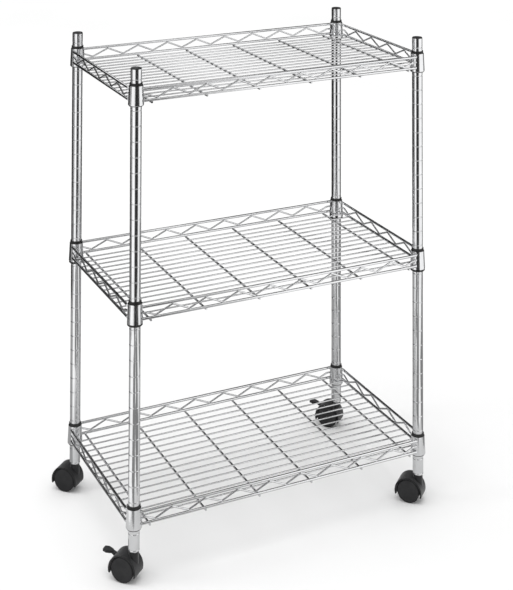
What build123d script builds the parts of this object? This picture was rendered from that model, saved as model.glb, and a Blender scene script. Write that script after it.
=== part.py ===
from build123d import *
import math
import os

os.makedirs("parts", exist_ok=True)

# Three-tier wire shelving rack on twin-wheel swivel casters, millimetres.
# Origin: on the floor, midway between the four posts. +X runs along the long side,
# -Y is the front and +Z is up.

# ---- overall layout -------------------------------------------------------------
post_x = 274.0          # post axis, half the spacing along the long side
post_y = 152.0          # post axis, half the spacing along the short side
post_length = 782.0
lower_section = 280.3   # the lower of the two post sections

# ---- posts ------------------------------------------------------------------------
post_r = 9.5
post_wall = 1.0
first_groove = 16.7     # centre of the top groove below the post's top
groove_pitch = 25.4
groove_cut_r = 1.1      # radius of the rolled groove's section
groove_depth = 0.5
foot_bevel = 1.2
joiner_half = 18.0      # half the length of the plug that joins the two sections
cap_flange_r = 9.3
cap_flange = 1.5
cap_bevel = 0.6
cap_plug = 9.0
cap_plug_wall = 2.0

# ---- shelves ----------------------------------------------------------------------
top_shelf_groove = 1    # groove that carries the top shelf, counted from the top one
middle_shelf_groove = 15
bottom_shelf_groove = 28
rib_height = 9.6        # sleeve rib above the lower rail's axis
rail_rise = 19.3        # top rail's axis above the lower rail's axis
rail_offset = 9.9       # rail axis outside the post axis
rail_r = 2.25
top_rail_end = 8.9      # rail's end, measured from the post axis
low_rail_end = 9.4
collar_above = 24.4     # collar top above the lower rail's axis
collar_below = 7.7
collar_top_r = 12.0
collar_bottom_r = 13.4
collar_lip = 0.6
cone_top_r = 11.0       # taper between the sleeve and the collar
cone_bottom_r = 12.2
sleeve_above = 4.4      # sleeve standing above the collar
sleeve_below = 1.2
sleeve_arc = 172.0      # each half of the split sleeve, in degrees
rib_r = 9.2
rib_half = 0.5
zigzag_r = 1.5
zigzag_pitch = 60.2
zigzag_half = 6.3       # corner of the bent wire above and below the middle
zigzag_bend = 3.5
zigzag_end = 9.2        # end of the bent wire, measured from the post axis
zigzag_hook = 16.5      # start of the straight end, measured from the post axis
cross_r = 1.8
cross_spacing = 100.0
cross_half = 163.5
cross_count = 6
deck_r = 1.3
deck_spacing = 19.6
deck_count = 15
weld = 0.3              # depth that crossing wires sink into each other

# ---- casters ----------------------------------------------------------------------
swivel_deg = 132.2      # trailing direction at rest, from +X towards +Y
wheel_r = 20.2
trail = 14.8            # axle behind the stem
axle_drop = 28.3        # axle below the post's end
hood_half = 15.6        # half the width across the hood
hood_r = 25.0
hood_bore = 22.6
hood_sag = 1.2          # centre of the hood's round below the axle
hood_tip = 7.5          # hood's lower edge below the axle
hood_edge = 0.7
web_half = 5.4          # half the thickness of the wall between the wheels
boss_r = 8.5
boss_gap = 0.8          # air between the boss and the post's end
stem_r = 3.5
stem_clear = 0.05
stem_foot = 2.0         # stem's lower end above the axle
stem_reach = 22.0       # stem inside the post
stem_bevel = 0.8
socket_length = 26.0
axle_r = 2.5
axle_half = 13.2
axle_clear = 0.05
wheel_in = 6.0          # wheel's inner face from the middle of the caster
wheel_out = 15.2
wheel_bore_end = 13.5
tread_bevel = 1.5
cavity_r = 16.4
cavity_hub_r = 6.5
cavity_end = 11.5

# ---- brake lever, in the caster's side view: x behind the axle, y above it --------
pivot = (12.0, 12.0)
pivot_pin_r = 1.25
pivot_clear = 0.05
shoe = (6.0, 12.0)
shoe_r = 1.4
shoe_half = 9.2
shoe_slot_middle = (6.1, 12.7)
shoe_slot_length = 4.6
shoe_slot_height = 5.4
lever_half = 3.0
lever_eye_r = 3.2
shoe_arm_half = 1.7     # half the lever's depth at the shoe
pedal_arm_half = 1.6    # half the lever's depth at the pedal
pedal_root = (22.4, 18.2)
pedal_tip = (40.4, 19.6)
pedal_sunk = 3.0        # length of the arm inside the pedal
pedal_root_half = 2.8   # half widths of the pedal along its length
pedal_neck = 5.0        # distance of the neck from the root
pedal_neck_half = 5.2
pedal_waist = 10.8      # distance of the widest place from the root
pedal_waist_half = 7.1
pedal_tip_half = 5.0
pedal_thick = 4.0
pedal_corner = 2.0
pedal_edge = 0.6
pocket_half = 3.4       # opening in the hood that the lever swings in
pocket_front = 2.5
pocket_back = 27.0
pocket_low = 7.5
pocket_roof = 16.6
pocket_neck = 13.0      # where the roof starts to rise
pocket_mouth = 22.0     # height of the roof at the back

# ---- derived ------------------------------------------------------------------------
post_bottom = wheel_r + axle_drop
post_top = post_bottom + post_length
seam = post_bottom + lower_section
tube_r = post_r - post_wall
groove_axis_r = post_r + groove_cut_r - groove_depth
turn = math.radians(swivel_deg)
behind = Vector(math.cos(turn), math.sin(turn), 0)
across = Vector(math.sin(turn), -math.cos(turn), 0)
corners = {
    "front_left": (-post_x, -post_y),
    "front_right": (post_x, -post_y),
    "rear_left": (-post_x, post_y),
    "rear_right": (post_x, post_y),
}
braked = ("front_left", "rear_right")


def groove_height(index):
    """Height of a groove, counted down from the top one."""
    return post_top - first_groove - index * groove_pitch


shelves = {
    "top": groove_height(top_shelf_groove) - rib_height,
    "middle": groove_height(middle_shelf_groove) - rib_height,
    "bottom": groove_height(bottom_shelf_groove) - rib_height,
}


def save(part, label):
    part.label = label
    export_step(part, "parts/" + label + ".step")


def radial(x, y, z=0.0, angle=0.0):
    """Upright plane through a vertical axis: sketch x is the radius, sketch y is height."""
    a = math.radians(angle)
    return Plane(origin=(x, y, z), x_dir=(math.cos(a), math.sin(a), 0), z_dir=(math.sin(a), -math.cos(a), 0))


def upright(x, y):
    return Axis((x, y, 0), (0, 0, 1))


def grooves_between(low, high):
    """Sketch points of every groove that lies wholly between two heights."""
    points = []
    index = 0
    while groove_height(index) > low + groove_cut_r:
        if groove_height(index) < high - groove_cut_r:
            points.append((groove_axis_r, groove_height(index)))
        index += 1
    return points


# ---- posts, caps and joiners --------------------------------------------------------
def make_post(x, y, low, high, bevel):
    """A length of grooved tube; bevel is the height of the taper round its lower end."""
    outline = [(tube_r, low), (post_r - bevel / 2, low)]
    if bevel:
        outline.append((post_r, low + bevel))
    outline += [(post_r, high), (tube_r, high)]
    with BuildPart() as post:
        with BuildSketch(radial(x, y)):
            with BuildLine():
                Polyline(*outline, close=True)
            make_face()
            with Locations(*grooves_between(low, high)):
                Circle(groove_cut_r, mode=Mode.SUBTRACT)
        revolve(axis=upright(x, y))
    return post.part


def make_cap(x, y):
    with BuildPart() as cap:
        with BuildSketch(radial(x, y, post_top)):
            with BuildLine():
                Polyline(
                    (0, cap_flange),
                    (cap_flange_r - cap_bevel, cap_flange),
                    (cap_flange_r, cap_flange - cap_bevel),
                    (cap_flange_r, 0),
                    (tube_r, 0),
                    (tube_r, -cap_plug),
                    (tube_r - cap_plug_wall, -cap_plug),
                    (tube_r - cap_plug_wall, -cap_flange),
                    (0, -cap_flange),
                    close=True,
                )
            make_face()
        revolve(axis=upright(x, y))
    return cap.part


for name, (x, y) in corners.items():
    save(make_post(x, y, seam, post_top, 0.0), "post_upper_" + name)
    save(make_post(x, y, post_bottom, seam, foot_bevel), "post_lower_" + name)
    save(make_cap(x, y), "post_cap_" + name)

with BuildPart() as joiners:
    for x, y in corners.values():
        with BuildSketch(Plane.XY.offset(seam - joiner_half)):
            with Locations((x, y)):
                Circle(tube_r)
        extrude(amount=2 * joiner_half)
save(joiners.part, "post_section_joiners")

with BuildPart() as sockets:
    for x, y in corners.values():
        with BuildSketch(Plane.XY.offset(post_bottom)):
            with Locations((x, y)):
                Circle(tube_r)
                Circle(stem_r + stem_clear, mode=Mode.SUBTRACT)
        extrude(amount=socket_length)
save(sockets.part, "caster_stem_sockets")


# ---- shelves --------------------------------------------------------------------------
def make_collars(low_rail):
    top = low_rail + collar_above
    bottom = low_rail - collar_below
    with BuildPart() as collars:
        for x, y in corners.values():
            with BuildSketch(radial(x, y)):
                with BuildLine():
                    Polyline(
                        (cone_bottom_r, bottom),
                        (collar_bottom_r - collar_lip, bottom),
                        (collar_bottom_r, bottom + collar_lip),
                        (collar_top_r, top),
                        (cone_top_r, top),
                        close=True,
                    )
                make_face()
            revolve(axis=upright(x, y))
    return collars.part


def make_sleeves(low_rail):
    """Two half sleeves round each post, with a rib that sits in the post's groove."""
    slope = (cone_bottom_r - cone_top_r) / (collar_above + collar_below)
    top = low_rail + collar_above + sleeve_above
    bottom = low_rail - collar_below - sleeve_below
    rib = low_rail + rib_height
    with BuildPart() as sleeves:
        for x, y in corners.values():
            for start in (0, 180):
                with BuildSketch(radial(x, y, 0, start + 90 - sleeve_arc / 2)):
                    with BuildLine():
                        Polyline(
                            (post_r, bottom),
                            (cone_bottom_r + slope * sleeve_below, bottom),
                            (cone_top_r - slope * sleeve_above, top),
                            (post_r, top),
                            (post_r, rib + rib_half),
                            (rib_r, rib + rib_half),
                            (rib_r, rib - rib_half),
                            (post_r, rib - rib_half),
                            close=True,
                        )
                    make_face()
                revolve(axis=upright(x, y), revolution_arc=sleeve_arc)
    return sleeves.part


def make_rails(height, end):
    """The four straight wires of one ring, each reaching from collar to collar."""
    with BuildPart() as rails:
        with BuildSketch(Plane.YZ.offset(-(post_x - end))):
            with Locations((post_y + rail_offset, height), (-post_y - rail_offset, height)):
                Circle(rail_r)
        extrude(amount=2 * (post_x - end))
        with BuildSketch(Plane.XZ.offset(-(post_y - end))):
            with Locations((post_x + rail_offset, height), (-post_x - rail_offset, height)):
                Circle(rail_r)
        extrude(amount=2 * (post_y - end))
    return rails.part


def zigzag_points(half_span, valleys, middle):
    """Corners of the bent wire along one side, from collar to collar."""
    first = -(valleys - 1) / 2 * zigzag_pitch
    points = [(-(half_span - zigzag_end), middle), (-(half_span - zigzag_hook), middle)]
    for i in range(valleys):
        points.append((first + i * zigzag_pitch, middle - zigzag_half))
        if i < valleys - 1:
            points.append((first + (i + 0.5) * zigzag_pitch, middle + zigzag_half))
    points += [(half_span - zigzag_hook, middle), (half_span - zigzag_end, middle)]
    return points


def make_zigzag(low_rail):
    middle = low_rail + rail_rise / 2
    sides = (
        (Plane.XZ.offset(post_y + rail_offset), post_x, 9),
        (Plane.XZ.offset(-post_y - rail_offset), post_x, 9),
        (Plane.YZ.offset(post_x + rail_offset), post_y, 5),
        (Plane.YZ.offset(-post_x - rail_offset), post_y, 5),
    )
    with BuildPart() as zigzag:
        for plane, half_span, valleys in sides:
            with BuildLine(plane) as path:
                FilletPolyline(*zigzag_points(half_span, valleys, middle), radius=zigzag_bend)
            with BuildSketch(Plane(origin=path.line @ 0, z_dir=path.line % 0)):
                Circle(zigzag_r)
            sweep(path=path.line)
    return zigzag.part


def make_cross_wires(low_rail):
    height = low_rail - rail_r - cross_r + weld
    with BuildPart() as wires:
        with BuildSketch(Plane.XZ.offset(-cross_half)):
            with Locations((0, height)):
                with GridLocations(cross_spacing, 1, cross_count, 1):
                    Circle(cross_r)
        extrude(amount=2 * cross_half)
    return wires.part


def make_deck_wires(low_rail):
    height = low_rail - rail_r + deck_r
    reach = post_x + rail_offset - rail_r + weld
    with BuildPart() as wires:
        with BuildSketch(Plane.YZ.offset(-reach)):
            with Locations((0, height)):
                with GridLocations(deck_spacing, 1, deck_count, 1):
                    Circle(deck_r)
        extrude(amount=2 * reach)
    return wires.part


for level, low_rail in shelves.items():
    save(make_collars(low_rail), level + "_shelf_collars")
    save(make_sleeves(low_rail), level + "_shelf_split_sleeves")
    save(make_rails(low_rail + rail_rise, top_rail_end), level + "_shelf_top_rails")
    save(make_rails(low_rail, low_rail_end), level + "_shelf_lower_rails")
    save(make_zigzag(low_rail), level + "_shelf_zigzag_wires")
    save(make_cross_wires(low_rail), level + "_shelf_cross_wires")
    save(make_deck_wires(low_rail), level + "_shelf_deck_wires")


# ---- casters --------------------------------------------------------------------------
def axle_centre(x, y):
    return Vector(x, y, wheel_r) + behind * trail


def side_view(x, y, offset=0.0):
    """Caster's side view: sketch x runs behind the axle, sketch y up, normal across."""
    return Plane(origin=axle_centre(x, y) + across * offset, x_dir=behind, z_dir=across)


def turning_view(x, y, side):
    """Half section of a wheel: sketch x runs along the axle outwards, sketch y is radius."""
    return Plane(origin=axle_centre(x, y), x_dir=across * side, z_dir=behind * -side)


def make_hood(x, y, has_brake):
    with BuildPart() as hood:
        with BuildSketch(side_view(x, y)):
            with Locations((0, -hood_sag)):
                Circle(hood_r)
            with Locations((0, -hood_tip)):
                Rectangle(
                    2 * hood_r, 2 * hood_r,
                    align=(Align.CENTER, Align.MAX), mode=Mode.SUBTRACT,
                )
        extrude(amount=hood_half, both=True)
        rims = hood.faces().filter_by(GeomType.PLANE).filter_by(Axis((0, 0, 0), across))
        chamfer(rims.edges().filter_by(GeomType.CIRCLE), length=hood_edge)
        with BuildSketch(Plane.XY.offset(wheel_r)):
            with Locations((x, y)):
                Circle(boss_r)
        extrude(amount=axle_drop - boss_gap)
        for side in (1, -1):
            with BuildSketch(side_view(x, y, side * web_half)):
                with Locations((0, -hood_sag)):
                    Circle(hood_bore)
            extrude(amount=side * hood_half, mode=Mode.SUBTRACT)
        with BuildSketch(Plane.XY.offset(wheel_r + stem_foot)):
            with Locations((x, y)):
                Circle(stem_r)
        extrude(amount=axle_drop, mode=Mode.SUBTRACT)
        with BuildSketch(side_view(x, y)):
            Circle(axle_r)
            if has_brake:
                with Locations(pivot):
                    Circle(pivot_pin_r)
        extrude(amount=2 * web_half, both=True, mode=Mode.SUBTRACT)
        if has_brake:
            with BuildSketch(side_view(x, y)):
                with BuildLine():
                    Polyline(
                        (pocket_front, pocket_low),
                        (pocket_front, pocket_roof),
                        (pocket_neck, pocket_roof),
                        (pocket_back, pocket_mouth),
                        (pocket_back, pocket_low),
                        close=True,
                    )
                make_face()
            extrude(amount=pocket_half, both=True, mode=Mode.SUBTRACT)
            with BuildSketch(side_view(x, y)):
                with Locations(shoe_slot_middle):
                    Rectangle(shoe_slot_length, shoe_slot_height)
            extrude(amount=2 * web_half, both=True, mode=Mode.SUBTRACT)
    return hood.part


def make_wheel(x, y, side):
    with BuildPart() as wheel:
        with BuildSketch(turning_view(x, y, side)):
            with BuildLine():
                Polyline(
                    (wheel_in, axle_r + axle_clear),
                    (wheel_bore_end, axle_r + axle_clear),
                    (wheel_bore_end, 0),
                    (wheel_out, 0),
                    (wheel_out, wheel_r - tread_bevel),
                    (wheel_out - tread_bevel, wheel_r),
                    (wheel_in + tread_bevel / 2, wheel_r),
                    (wheel_in, wheel_r - tread_bevel / 2),
                    (wheel_in, cavity_r),
                    (cavity_end, cavity_r),
                    (cavity_end, cavity_hub_r),
                    (wheel_in, cavity_hub_r),
                    close=True,
                )
            make_face()
        revolve(axis=Axis(axle_centre(x, y), across))
    return wheel.part


def make_axle(x, y):
    with BuildPart() as axle:
        with BuildSketch(side_view(x, y)):
            Circle(axle_r)
        extrude(amount=axle_half, both=True)
    return axle.part


def make_stem(x, y):
    with BuildPart() as stem:
        with BuildSketch(Plane.XY.offset(wheel_r + stem_foot)):
            with Locations((x, y)):
                Circle(stem_r)
        extrude(amount=axle_drop - stem_foot + stem_reach)
        chamfer(stem.edges().group_by(Axis.Z)[-1], length=stem_bevel)
    return stem.part


def tapered_bar(start, end, start_half, end_half):
    """Outline of a flat bar from one point to another, with a depth of its own at each."""
    first = Vector(start[0], start[1], 0)
    last = Vector(end[0], end[1], 0)
    side = (last - first).normalized().rotate(Axis.Z, 90)
    return (
        first + side * start_half,
        last + side * end_half,
        last - side * end_half,
        first - side * start_half,
    )


def pedal_view(x, y):
    """The pedal's plan: sketch x runs from its root to its tip, the normal is up."""
    run = Vector(pedal_tip[0] - pedal_root[0], pedal_tip[1] - pedal_root[1], 0).normalized()
    root = axle_centre(x, y) + behind * pedal_root[0] + Vector(0, 0, pedal_root[1])
    along = behind * run.X + Vector(0, 0, run.Y)
    return Plane(origin=root, x_dir=along, z_dir=across.cross(along) * -1)


def pedal_outline():
    length = math.dist(pedal_root, pedal_tip)
    half = [
        (0, pedal_root_half),
        (pedal_neck, pedal_neck_half),
        (pedal_waist, pedal_waist_half),
        (length, pedal_tip_half),
    ]
    return half + [(along, -width) for along, width in reversed(half)]


def make_lever(x, y):
    reach = pedal_sunk / math.dist(pedal_root, pedal_tip)
    arm_end = (
        pedal_root[0] + reach * (pedal_tip[0] - pedal_root[0]),
        pedal_root[1] + reach * (pedal_tip[1] - pedal_root[1]),
    )
    with BuildPart() as lever:
        with BuildSketch(pedal_view(x, y)):
            with BuildLine():
                Polyline(*pedal_outline(), close=True)
            make_face()
            fillet(vertices(), radius=pedal_corner)
        extrude(amount=pedal_thick / 2, both=True)
        faces_up_down = lever.faces().sort_by(Axis.Z)
        fillet((faces_up_down[0].edges() + faces_up_down[-1].edges()), radius=pedal_edge)
        for end, half in ((arm_end, pedal_arm_half), (shoe, shoe_arm_half)):
            with BuildSketch(side_view(x, y)):
                with BuildLine():
                    Polyline(*tapered_bar(pivot, end, lever_eye_r, half), close=True)
                make_face()
            extrude(amount=lever_half, both=True)
        with BuildSketch(side_view(x, y)):
            with Locations(pivot):
                Circle(lever_eye_r)
        extrude(amount=lever_half, both=True)
        with BuildSketch(side_view(x, y)):
            with Locations(shoe):
                Circle(shoe_r)
        extrude(amount=shoe_half, both=True)
        with BuildSketch(side_view(x, y)):
            with Locations(pivot):
                Circle(pivot_pin_r + pivot_clear)
        extrude(amount=2 * lever_half, both=True, mode=Mode.SUBTRACT)
    return lever.part


def make_pivot_pin(x, y):
    with BuildPart() as pin:
        with BuildSketch(side_view(x, y)):
            with Locations(pivot):
                Circle(pivot_pin_r)
        extrude(amount=web_half, both=True)
    return pin.part


for name, (x, y) in corners.items():
    save(make_hood(x, y, name in braked), "caster_hood_" + name)
    save(make_stem(x, y), "caster_stem_" + name)
    save(make_axle(x, y), "caster_axle_" + name)
    save(make_wheel(x, y, 1), "caster_wheel_a_" + name)
    save(make_wheel(x, y, -1), "caster_wheel_b_" + name)
    if name in braked:
        save(make_lever(x, y), "brake_lever_" + name)
        save(make_pivot_pin(x, y), "brake_pivot_pin_" + name)
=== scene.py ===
import math
import random

import bmesh
import bpy
from mathutils import Matrix, Vector


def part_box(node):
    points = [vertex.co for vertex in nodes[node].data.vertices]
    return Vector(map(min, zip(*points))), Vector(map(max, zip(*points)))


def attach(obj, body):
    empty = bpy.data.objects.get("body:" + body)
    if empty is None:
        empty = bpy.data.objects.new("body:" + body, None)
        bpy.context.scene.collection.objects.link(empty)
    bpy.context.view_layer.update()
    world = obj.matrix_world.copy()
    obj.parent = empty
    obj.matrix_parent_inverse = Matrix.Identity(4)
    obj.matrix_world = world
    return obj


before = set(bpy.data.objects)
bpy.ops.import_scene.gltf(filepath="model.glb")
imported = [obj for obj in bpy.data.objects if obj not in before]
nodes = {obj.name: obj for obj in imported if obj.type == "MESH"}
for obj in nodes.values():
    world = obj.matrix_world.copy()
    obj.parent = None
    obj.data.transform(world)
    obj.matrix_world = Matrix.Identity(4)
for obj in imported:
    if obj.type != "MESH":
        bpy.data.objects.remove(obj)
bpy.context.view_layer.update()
LEVELS = ("bottom", "middle", "top")
CORNERS = ("front_left", "front_right", "rear_left", "rear_right")


# ---- places read from the CAD ---------------------------------------------------------
def middle(node):
    low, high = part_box(node)
    return (Vector(low) + Vector(high)) / 2


POST = {c: middle("post_upper_" + c) for c in CORNERS}
POST_R = (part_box("post_upper_front_left")[1][0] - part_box("post_upper_front_left")[0][0]) / 2


# ---- node helpers ---------------------------------------------------------------------
def new_material(name):
    mat = bpy.data.materials.new(name)
    mat.use_nodes = True
    tree = mat.node_tree
    shader = next(n for n in tree.nodes if n.type == "BSDF_PRINCIPLED")
    return mat, tree, shader


def add(tree, kind, **inputs):
    node = tree.nodes.new(kind)
    for name, value in inputs.items():
        node.inputs[name.replace("_", " ")].default_value = value
    return node


def noise(tree, scale, detail=3.0, stretch=(1, 1, 1)):
    """Noise in the object's own metres; stretch above 1 makes it finer along that axis."""
    coords = tree.nodes.new("ShaderNodeTexCoord")
    place = add(tree, "ShaderNodeMapping", Scale=stretch)
    tree.links.new(coords.outputs["Object"], place.inputs["Vector"])
    tex = add(tree, "ShaderNodeTexNoise", Scale=scale, Detail=detail)
    tree.links.new(place.outputs["Vector"], tex.inputs["Vector"])
    return tex.outputs["Fac"]


def ramp(tree, source, low, high, start=0.35, end=0.65):
    """Maps a texture onto a range of greys or colours."""
    node = tree.nodes.new("ShaderNodeValToRGB")
    as_colour = [c if isinstance(c, tuple) else (c, c, c) for c in (low, high)]
    for element, position, colour in zip(node.color_ramp.elements, (start, end), as_colour):
        element.position = position
        element.color = (*colour, 1)
    tree.links.new(source, node.inputs["Fac"])
    return node.outputs["Color"]


def bump(tree, shader, heights):
    """Chains several (source, strength, distance in metres) into one normal."""
    last = None
    for source, strength, distance in heights:
        node = add(tree, "ShaderNodeBump", Strength=strength, Distance=distance)
        tree.links.new(source, node.inputs["Height"])
        if last:
            tree.links.new(last, node.inputs["Normal"])
        last = node.outputs["Normal"]
    tree.links.new(last, shader.inputs["Normal"])


def chrome(name, tint, dull, grain):
    """Bright plating over steel: faint clouding, drawing marks and a little orange peel."""
    mat, tree, shader = new_material(name)
    shader.inputs["Metallic"].default_value = 1.0
    cloud = noise(tree, 42.0, 4.0)
    darker = tuple(c * 0.92 for c in tint)
    tree.links.new(ramp(tree, cloud, darker, tint, 0.3, 0.62), shader.inputs["Base Color"])
    handling = noise(tree, 17.0, 6.0, (1.0, 1.0, 0.6))
    tree.links.new(ramp(tree, handling, dull, dull + 0.09, 0.42, 0.72), shader.inputs["Roughness"])
    drawn = noise(tree, 260.0, 2.0, grain)
    peel = noise(tree, 420.0, 2.0)
    bump(tree, shader, ((drawn, 0.05, 0.0004), (peel, 0.04, 0.0003)))
    return mat


def plastic(name, dark, light, smooth, rough, grain, depth, bloom=0.0):
    """Moulded black plastic: mottled tone, spark-eroded grain and slight sink waviness."""
    mat, tree, shader = new_material(name)
    tone = noise(tree, 60.0, 5.0)
    tree.links.new(ramp(tree, tone, dark, light), shader.inputs["Base Color"])
    patch = noise(tree, 130.0, 4.0)
    tree.links.new(ramp(tree, patch, smooth, rough, 0.3, 0.7), shader.inputs["Roughness"])
    shader.inputs["Specular IOR Level"].default_value = 0.3
    shader.inputs["Sheen Weight"].default_value = bloom
    shader.inputs["Sheen Roughness"].default_value = 0.45
    fine = noise(tree, grain, 2.0)
    wave = noise(tree, 55.0, 1.0)
    bump(tree, shader, ((fine, depth, 0.0004), (wave, 0.12, 0.0006)))
    return mat


def steel(name):
    """Zinc-plated steel with turning marks."""
    mat, tree, shader = new_material(name)
    shader.inputs["Metallic"].default_value = 1.0
    tree.links.new(
        ramp(tree, noise(tree, 90.0, 5.0), (0.42, 0.43, 0.45), (0.62, 0.62, 0.60)),
        shader.inputs["Base Color"],
    )
    tree.links.new(ramp(tree, noise(tree, 140.0, 3.0), 0.26, 0.42), shader.inputs["Roughness"])
    bump(tree, shader, ((noise(tree, 900.0, 2.0, (1, 1, 6)), 0.15, 0.0003),))
    return mat


post_chrome = chrome("post_chrome", (0.93, 0.935, 0.945), dull=0.045, grain=(1.0, 1.0, 0.08))
collar_chrome = chrome("collar_chrome", (0.92, 0.925, 0.935), dull=0.075, grain=(0.5, 0.5, 2.0))
wire_chrome = chrome("wire_chrome", (0.91, 0.915, 0.925), dull=0.09, grain=(1.0, 1.0, 1.0))
weld_chrome = chrome("weld_chrome", (0.70, 0.70, 0.70), dull=0.20, grain=(2.0, 2.0, 2.0))
hood_black = plastic(
    "hood_black", (0.008, 0.008, 0.009), (0.014, 0.014, 0.015),
    smooth=0.30, rough=0.42, grain=1500.0, depth=0.22, bloom=0.20,
)
wheel_black = plastic(
    "wheel_black", (0.017, 0.017, 0.018), (0.024, 0.024, 0.025),
    smooth=0.50, rough=0.62, grain=1100.0, depth=0.30,
)
sleeve_black = plastic(
    "sleeve_black", (0.012, 0.012, 0.012), (0.022, 0.022, 0.022),
    smooth=0.34, rough=0.50, grain=1700.0, depth=0.15,
)
cap_black = plastic(
    "cap_black", (0.014, 0.014, 0.015), (0.026, 0.026, 0.027),
    smooth=0.26, rough=0.40, grain=1700.0, depth=0.12,
)
pin_steel = steel("pin_steel")

FINISHES = (
    ("post_upper", post_chrome),
    ("post_lower", post_chrome),
    ("post_cap", cap_black),
    ("post_section", pin_steel),
    ("caster_stem_sockets", sleeve_black),
    ("caster_stem", pin_steel),
    ("caster_axle", pin_steel),
    ("brake_pivot", pin_steel),
    ("caster_hood", hood_black),
    ("caster_wheel", wheel_black),
    ("brake_lever", hood_black),
)   # how a node's name starts; the first match counts
SHELF_FINISHES = (
    ("_collars", collar_chrome),
    ("_split_sleeves", sleeve_black),
    ("_rails", wire_chrome),
    ("_wires", wire_chrome),
)   # how a node's name ends


def finish_for(name):
    for start, mat in FINISHES:
        if name.startswith(start):
            return mat
    for end, mat in SHELF_FINISHES:
        if name.endswith(end):
            return mat
    return wire_chrome


for name, node in nodes.items():
    for slot in node.material_slots:
        slot.material = finish_for(name)


# ---- weld beads on each shelf -----------------------------------------------------------
COLLAR_BEAD = (0.0022, 0.0021, 0.0029)      # half sizes of a bead: along, across and up
CROSS_BEAD = (0.0021, 0.0016, 0.0007)
CROSS_END_BEAD = (0.0022, 0.0020, 0.0009)
DECK_END_BEAD = (0.0010, 0.0017, 0.0014)
BEND_BEAD = (0.0027, 0.0013, 0.0008)
LOW_REACH = 0.0104          # collar bead from the post axis, at the lower rail
TOP_REACH = 0.0096
INBOARD = 0.0012            # collar bead inside the rail's axis
SUNK = 0.0002               # how far a bead sits into the wire it is on
CROSS_COUNT = 6
DECK_COUNT = 15
BEND_SPACING = 0.0301       # from one bend of the zigzag wire to the next
LONG_BENDS = 8              # bends each side of the middle, along a long side
SHORT_BENDS = 4             # and along a short side
WELD_SEED = 11              # first shelf's seed for the unevenness of its beads
ALONG_X = (1, 0, 0)
ALONG_Y = (0, 1, 0)


def bead(mesh, centre, size, along, rng, detail=1):
    """A slightly uneven flattened blob, long in one direction."""
    turn = Vector(along).to_track_quat("X", "Z").to_matrix().to_4x4()
    uneven = [s * rng.uniform(0.88, 1.12) for s in size]
    shape = Matrix.Translation(centre) @ turn @ Matrix.Diagonal((*uneven, 1))
    bmesh.ops.create_icosphere(mesh, subdivisions=detail, radius=1.0, matrix=shape)


def finish_piece(name, mesh, mat, body):
    data = bpy.data.meshes.new(name)
    mesh.to_mesh(data)
    mesh.free()
    for face in data.polygons:
        face.use_smooth = True
    piece = bpy.data.objects.new(name, data)
    bpy.context.scene.collection.objects.link(piece)
    data.materials.append(mat)
    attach(piece, body)
    return piece


def wire_axes(node, axis, count):
    """Where the evenly spaced parallel wires of a node lie along an axis, and their radius."""
    low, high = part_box(node)
    radius = (high[2] - low[2]) / 2
    step = (high[axis] - low[axis] - 2 * radius) / (count - 1)
    return [low[axis] + radius + i * step for i in range(count)], radius


def collar_beads(mesh, rng, long_y, end_x, height, reach):
    for corner in CORNERS:
        post = POST[corner]
        sx = math.copysign(1, post.x)
        sy = math.copysign(1, post.y)
        beside = (post.x - sx * reach, sy * (long_y - INBOARD), height)
        behind = (sx * (end_x - INBOARD), post.y - sy * reach, height)
        bead(mesh, beside, COLLAR_BEAD, ALONG_X, rng, 2)
        bead(mesh, behind, COLLAR_BEAD, ALONG_Y, rng, 2)


def deck_beads(mesh, rng, level, long_y, end_x, rail_z, rail_r):
    crosses, cross_r = wire_axes(level + "_shelf_cross_wires", 0, CROSS_COUNT)
    decks, _ = wire_axes(level + "_shelf_deck_wires", 1, DECK_COUNT)
    deck_z = middle(level + "_shelf_deck_wires").z
    joint_z = middle(level + "_shelf_cross_wires").z + cross_r - SUNK / 2
    for x in crosses:
        for y in decks:
            bead(mesh, (x, y, joint_z), CROSS_BEAD, ALONG_X, rng)
        for side in (-1, 1):
            bead(mesh, (x, side * long_y, rail_z - rail_r), CROSS_END_BEAD, ALONG_X, rng)
    for y in decks:
        for side in (-1, 1):
            bead(mesh, (side * (end_x - rail_r + SUNK / 2), y, deck_z), DECK_END_BEAD, ALONG_X, rng)


def zigzag_beads(mesh, rng, long_y, end_x, low_z, top_z, rail_r):
    for i in range(-LONG_BENDS, LONG_BENDS + 1):
        z = top_z - rail_r + SUNK if i % 2 else low_z + rail_r - SUNK
        along = i * BEND_SPACING
        for side in (-1, 1):
            bead(mesh, (along, side * long_y, z), BEND_BEAD, ALONG_X, rng)
            if abs(i) <= SHORT_BENDS:
                bead(mesh, (side * end_x, along, z), BEND_BEAD, ALONG_Y, rng)


def shelf_welds(level, seed):
    rng = random.Random(seed)
    mesh = bmesh.new()
    rail_low, rail_high = (Vector(c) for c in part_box(level + "_shelf_lower_rails"))
    rail_r = (rail_high.z - rail_low.z) / 2
    long_y = rail_high.y - rail_r
    end_x = rail_high.x - rail_r
    low_z = middle(level + "_shelf_lower_rails").z
    top_z = middle(level + "_shelf_top_rails").z
    collar_beads(mesh, rng, long_y, end_x, low_z, LOW_REACH)
    collar_beads(mesh, rng, long_y, end_x, top_z, TOP_REACH)
    deck_beads(mesh, rng, level, long_y, end_x, low_z, rail_r)
    zigzag_beads(mesh, rng, long_y, end_x, low_z, top_z, rail_r)
    finish_piece(level + "_shelf_welds", mesh, weld_chrome, "rack_frame")


for index, level in enumerate(LEVELS):
    shelf_welds(level, WELD_SEED + index)


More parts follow.
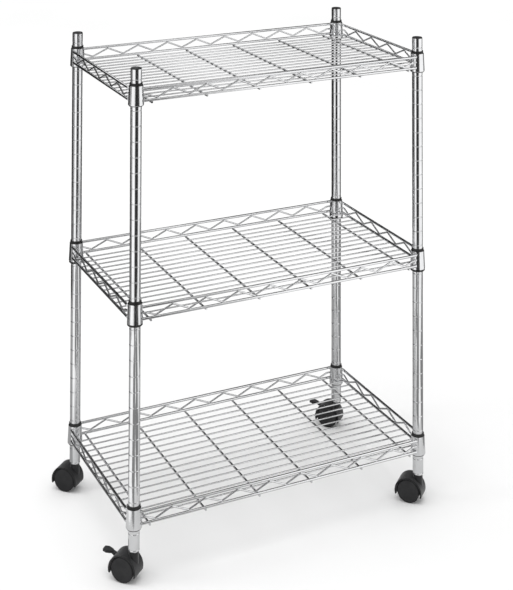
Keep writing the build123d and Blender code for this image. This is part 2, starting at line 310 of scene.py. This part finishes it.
# ---- lips of the middle shelf's sleeves, showing below its collars ------------------------
LIP_HEIGHT = 0.0034         # lip standing out below the collar
LIP_INSET = 0.0004          # lip inside the collar's widest radius
LIP_CHAMFER = 0.0008        # along the lip's lower outer edge
LIP_CLEARANCE = 0.0001      # between the lip and the post
LIP_STEPS = 24              # facets round each half
LIP_SPLIT = math.radians(3)     # half the gap between the two halves


def half_lip(mesh, centre, profile, start):
    """The (radius, height) profile swept half a turn about the post."""
    sections = []
    for step in range(LIP_STEPS + 1):
        turn = start + LIP_SPLIT + (math.pi - 2 * LIP_SPLIT) * step / LIP_STEPS
        side = Vector((math.cos(turn), math.sin(turn), 0))
        ring = [mesh.verts.new(centre + side * r + Vector((0, 0, z))) for r, z in profile]
        sections.append(ring)
    for near, far in zip(sections, sections[1:]):
        for i in range(len(profile)):
            j = (i + 1) % len(profile)
            mesh.faces.new((near[i], far[i], far[j], near[j]))
    mesh.faces.new(sections[0])
    mesh.faces.new(sections[-1])


def sleeve_lips(level):
    low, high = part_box(level + "_shelf_collars")
    inner = POST_R + LIP_CLEARANCE
    outer = high[0] - POST["front_right"].x - LIP_INSET
    profile = (
        (inner, 0.0),
        (outer, 0.0),
        (outer, LIP_CHAMFER - LIP_HEIGHT),
        (outer - LIP_CHAMFER, -LIP_HEIGHT),
        (inner, -LIP_HEIGHT),
    )
    mesh = bmesh.new()
    for corner in CORNERS:
        centre = Vector((POST[corner].x, POST[corner].y, low[2]))
        half_lip(mesh, centre, profile, 0.0)
        half_lip(mesh, centre, profile, math.pi)
    bmesh.ops.recalc_face_normals(mesh, faces=mesh.faces)
    finish_piece(level + "_shelf_sleeve_lips", mesh, sleeve_black, "rack_frame")


sleeve_lips("middle")


# ---- floor, reflector cards, world and lights -------------------------------------------
MATT = 0.9                  # roughness of the floor and the cards
FLOOR_HALF = 9.0
FLOOR_GREY = 0.69


def panel(name, corners, colour):
    data = bpy.data.meshes.new(name)
    data.from_pydata(corners, [], [tuple(range(len(corners)))])
    obj = bpy.data.objects.new(name, data)
    bpy.context.scene.collection.objects.link(obj)
    mat, tree, shader = new_material(name)
    soft = tuple(c * 0.97 for c in colour)
    tree.links.new(ramp(tree, noise(tree, 1.5, 2.0), soft, colour), shader.inputs["Base Color"])
    shader.inputs["Roughness"].default_value = MATT
    shader.inputs["Specular IOR Level"].default_value = 0.0
    data.materials.append(mat)
    return obj


def reflector(name, corners, grey):
    """A flat card that shows only in reflections."""
    obj = panel(name, corners, (grey, grey, grey))
    obj.visible_camera = False
    obj.visible_diffuse = False
    obj.visible_shadow = False


def toward(bearing, distance, x=0.0, y=0.0):
    """A point on the floor; bearings are from +Y towards +X, in degrees."""
    a = math.radians(bearing)
    return (x + distance * math.sin(a), y + distance * math.cos(a))


def upright_card(name, distance, start, end, low, high, grey):
    left = toward(start, distance)
    right = toward(end, distance)
    reflector(name, [(*left, low), (*right, low), (*right, high), (*left, high)], grey)


def rectangle(x_low, x_high, y_low, y_high, z):
    return [(x_low, y_low, z), (x_high, y_low, z), (x_high, y_high, z), (x_low, y_high, z)]


floor_corners = rectangle(-FLOOR_HALF, FLOOR_HALF, -FLOOR_HALF, FLOOR_HALF, 0.0)
panel("floor", floor_corners, (FLOOR_GREY, FLOOR_GREY, FLOOR_GREY))

UPRIGHT_CARDS = (
    ("card_left", 1.2, -96, -68, 0.0, 1.7, 0.30),
    ("card_back_left", 1.2, -68, -34, 0.0, 1.25, 0.05),
    ("card_back_middle", 1.2, -34, 0, 0.0, 1.25, 0.02),
    ("card_back", 1.2, 0, 34, 0.0, 1.25, 0.02),
    ("card_back_right", 1.2, 34, 74, 0.0, 1.25, 0.04),
    ("card_right", 1.2, 74, 104, 0.0, 1.7, 0.22),
    ("card_front_edge_left", 1.25, 218, 226, 0.0, 1.6, 0.35),
    ("card_front_left", 1.25, 190, 218, 0.0, 1.6, 0.03),
    ("card_front_right", 1.25, 170, 190, 0.0, 1.6, 0.05),
    ("card_front_edge_right", 1.25, 162, 170, 0.0, 1.6, 0.35),
)   # name, distance, start and end bearings, low and high z, grey
for spec in UPRIGHT_CARDS:
    upright_card(*spec)

LEVEL_CARDS = (
    ("card_floor", -1.5, 1.5, -1.5, 1.5, 0.0006, 0.63),
    ("card_floor_back", -1.2, 1.2, 0.1, 1.5, 0.0009, 0.22),
    ("card_floor_under", -0.5, 0.5, -0.45, 0.1, 0.0009, 0.42),
    ("card_floor_right", 0.5, 1.4, -0.7, 0.1, 0.0010, 0.16),
    ("card_ceiling_back", -5.0, 2.6, -0.9, 3.2, 2.60, 0.04),
    ("card_ceiling_soft", -0.7, 0.85, -0.9, 1.3, 2.58, 0.50),
    ("card_ceiling_front", -0.6, 2.6, -1.4, -0.9, 2.60, 0.35),
)   # name, low and high x, low and high y, z, grey
for name, x_low, x_high, y_low, y_high, z, grey in LEVEL_CARDS:
    reflector(name, rectangle(x_low, x_high, y_low, y_high, z), grey)

WEDGE_START = 187           # bearings of the grey wedge in front of each post
WEDGE_END = 216
WEDGE_FAR = 1.1
WEDGE_GREY = 0.15


def front_wedge(corner, near, height):
    """A grey wedge on the floor in front of a post, from a distance near to WEDGE_FAR."""
    x, y = POST[corner].x, POST[corner].y
    points = (
        toward(WEDGE_START, near, x, y),
        toward(WEDGE_START, WEDGE_FAR, x, y),
        toward(WEDGE_END, WEDGE_FAR, x, y),
        toward(WEDGE_END, near, x, y),
    )
    reflector("card_floor_front_" + corner, [(*point, height) for point in points], WEDGE_GREY)


front_wedge("front_left", 0.32, 0.0012)
front_wedge("front_right", 0.45, 0.0014)
front_wedge("rear_left", 0.52, 0.0016)
front_wedge("rear_right", 0.58, 0.0018)

world = bpy.data.worlds.new("studio")
bpy.context.scene.world = world
world.use_nodes = True
sky = world.node_tree.nodes["Background"]
sky.inputs["Color"].default_value = (1.0, 1.0, 1.0, 1)
sky.inputs["Strength"].default_value = 1.08
bpy.context.scene.view_settings.view_transform = "Standard"

left_data = bpy.data.lights.new("left_softbox", "AREA")
left_data.shape = "DISK"
left_data.size = 0.9
left_data.energy = 14.0
left_softbox = bpy.data.objects.new("left_softbox", left_data)
left_softbox.location = (-2.2, 0.6, 2.2)
left_aim = Vector((-0.1, 0, 0.1)) - left_softbox.location
left_softbox.rotation_euler = left_aim.to_track_quat("-Z", "Y").to_euler()

overhead_data = bpy.data.lights.new("overhead", "SUN")
overhead_data.energy = 1.26
overhead_data.angle = math.radians(40)
overhead = bpy.data.objects.new("overhead", overhead_data)
overhead.rotation_euler = (math.radians(6), math.radians(-8), 0)
overhead.visible_glossy = False

for light in (left_softbox, overhead):
    bpy.context.scene.collection.objects.link(light)


# ---- camera: a view camera whose film stays nearly upright ---------------------------------
CAMERA_EYE = Vector((-1.1061, -2.3273, 1.3816))
CAMERA_BEARING = math.radians(25.81)    # from +Y towards +X
FILM_TILT = math.radians(-1.96)
FILM_ROLL = math.radians(-0.124)
FILM_DROP = 0.43696                     # frame centre below the film's axis, as a slope
FOCAL_HEIGHTS = 2.3522                  # focal length in picture heights
SENSOR_MM = 36.0

forward = Vector((
    math.sin(CAMERA_BEARING) * math.cos(FILM_TILT),
    math.cos(CAMERA_BEARING) * math.cos(FILM_TILT),
    -math.sin(FILM_TILT),
))
level_right = Vector((math.cos(CAMERA_BEARING), -math.sin(CAMERA_BEARING), 0))
level_down = forward.cross(level_right)
film_right = level_right * math.cos(FILM_ROLL) + level_down * math.sin(FILM_ROLL)
film_down = level_down * math.cos(FILM_ROLL) - level_right * math.sin(FILM_ROLL)
look = forward + film_down * FILM_DROP
camera_data = bpy.data.cameras.new("camera")
camera_data.sensor_width = SENSOR_MM
camera_data.lens = SENSOR_MM * FOCAL_HEIGHTS * look.length
camera_data.clip_end = 60.0
camera = bpy.data.objects.new("camera", camera_data)
rig = bpy.data.objects.new("camera_rig", None)
for obj in (rig, camera):
    bpy.context.scene.collection.objects.link(obj)
sheared = Matrix((film_right, -film_down, -look.normalized())).transposed().to_4x4()
sheared.translation = CAMERA_EYE
camera.parent = rig
camera.matrix_parent_inverse = sheared
bpy.context.scene.camera = camera

bpy.context.view_layer.update()
